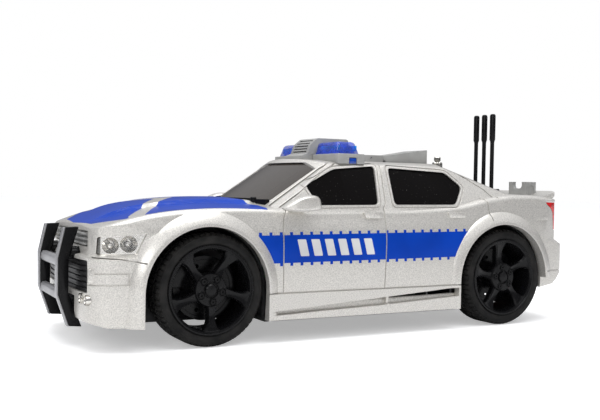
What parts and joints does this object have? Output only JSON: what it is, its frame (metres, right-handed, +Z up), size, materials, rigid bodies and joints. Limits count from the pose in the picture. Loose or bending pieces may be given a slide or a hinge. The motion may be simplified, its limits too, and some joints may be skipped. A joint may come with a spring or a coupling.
{
  "type": "toy patrol car",
  "caption": "Friction-drive toy saloon car with a roof light bar, push bar, rubber-tyred wheels, whip aerials and a sealed light and sound unit.",
  "frame": {"origin": "middle of the overall length and width, on the ground under the tyres", "axes": "+X towards the nose, +Y to the car's own left, +Z up"},
  "size_m": [0.249, 0.1, 0.1047],
  "materials": {
    "silver_plastic": "satin metallic",
    "black_glazing": "gloss",
    "black_chassis": "matte",
    "clear_lens": "clear gloss",
    "chromed_reflector": "mirror",
    "grey_trim": "matte",
    "red_lens": "gloss",
    "black_trim": "satin",
    "silver_trim": "satin",
    "blue_lens": "clear blue gloss",
    "circuit_board": "satin",
    "led_lens": "gloss",
    "steel": "bright",
    "chromed_knob": "bright",
    "wheel_plastic": "satin black",
    "motor_plastic": "matte",
    "gear_plastic": "satin",
    "speaker_paper": "matte",
    "tyre_rubber": "matte"
  },
  "bodies": {
    "root": {"body_shell": "silver_plastic", "mirror_left": "silver_plastic", "mirror_right": "silver_plastic", "window_insert": "black_glazing", "chassis": "black_chassis", "headlight_lens_left": "clear_lens", "headlight_lens_right": "clear_lens", "headlight_reflectors": "chromed_reflector", "fog_lamps": "chromed_reflector", "grille": "grey_trim", "tail_lamp_left": "red_lens", "tail_lamp_right": "red_lens", "push_bar_upright_left": "black_trim", "push_bar_upright_right": "black_trim", "push_bar_posts": "black_trim", "push_bar_fronts": "silver_trim", "push_bar_rails": "silver_trim", "light_bar_base": "grey_trim", "siren_cover": "grey_trim", "horn_bracket": "grey_trim", "boot_brackets": "grey_trim", "light_bar_lens_left": "blue_lens", "light_bar_lens_right": "blue_lens", "light_bar_board": "circuit_board", "sound_board": "circuit_board", "horn_switch": "circuit_board", "light_bar_leds": "led_lens", "horn_pin": "steel", "roof_knob": "chromed_knob", "antenna_base": "black_trim", "antennas": "black_trim", "idler_pin": "steel", "chassis_screws": "steel", "small_screws": "steel", "button_cells": "steel", "battery_contacts": "steel", "motor_housing_left": "motor_plastic", "motor_housing_right": "motor_plastic", "battery_cover": "black_chassis", "speaker_frame": "steel", "speaker_cone": "speaker_paper", "power_switch_body": "black_trim"},
    "front_wheels": {"front_axle": "steel", "front_brake_discs": "wheel_plastic", "rim_front_left": "wheel_plastic", "rim_front_right": "wheel_plastic", "tyre_front_left": "tyre_rubber", "tyre_front_right": "tyre_rubber"},
    "rear_wheels": {"rear_axle": "steel", "rear_brake_discs": "wheel_plastic", "rim_rear_left": "wheel_plastic", "rim_rear_right": "wheel_plastic", "tyre_rear_left": "tyre_rubber", "tyre_rear_right": "tyre_rubber", "axle_gear": "gear_plastic"},
    "idler": {"idler_gear": "gear_plastic"},
    "flywheel": {"flywheel": "steel", "flywheel_shaft": "steel"},
    "horn_key": {"horn_key": "grey_trim"},
    "power_switch": {"power_switch_knob": "black_trim"}
  },
  "joints": [
    {"name": "front_axle_spin", "type": "hinge", "parent": "root", "child": "front_wheels", "pos_m": [0.06905, 0, 0.02285], "axis": [0, 1, 0], "continuous": true},
    {"name": "rear_axle_spin", "type": "hinge", "parent": "root", "child": "rear_wheels", "pos_m": [-0.08095, 0, 0.02285], "axis": [0, 1, 0], "continuous": true},
    {"name": "idler_spin", "type": "hinge", "parent": "root", "child": "idler", "pos_m": [-0.06937, 0, 0.026], "axis": [0, 1, 0], "continuous": true},
    {"name": "flywheel_spin", "type": "hinge", "parent": "root", "child": "flywheel", "pos_m": [-0.05677, 0, 0.026], "axis": [0, 1, 0], "continuous": true},
    {"name": "horn_key_press", "type": "hinge", "parent": "root", "child": "horn_key", "pos_m": [-0.02845, 0, 0.0792], "axis": [0, -1, 0], "range_deg": [0, 2], "stiffness_Nm_per_rad": 0.4},
    {"name": "power_switch_slide", "type": "slide", "parent": "root", "child": "power_switch", "axis": [1, 0, 0], "range_m": [0, 0.003]}
  ],
  "couplings": [
    {"joint": "idler_spin", "follows": "rear_axle_spin", "ratio": -2.3333},
    {"joint": "flywheel_spin", "follows": "rear_axle_spin", "ratio": 5.8333}
  ]
}
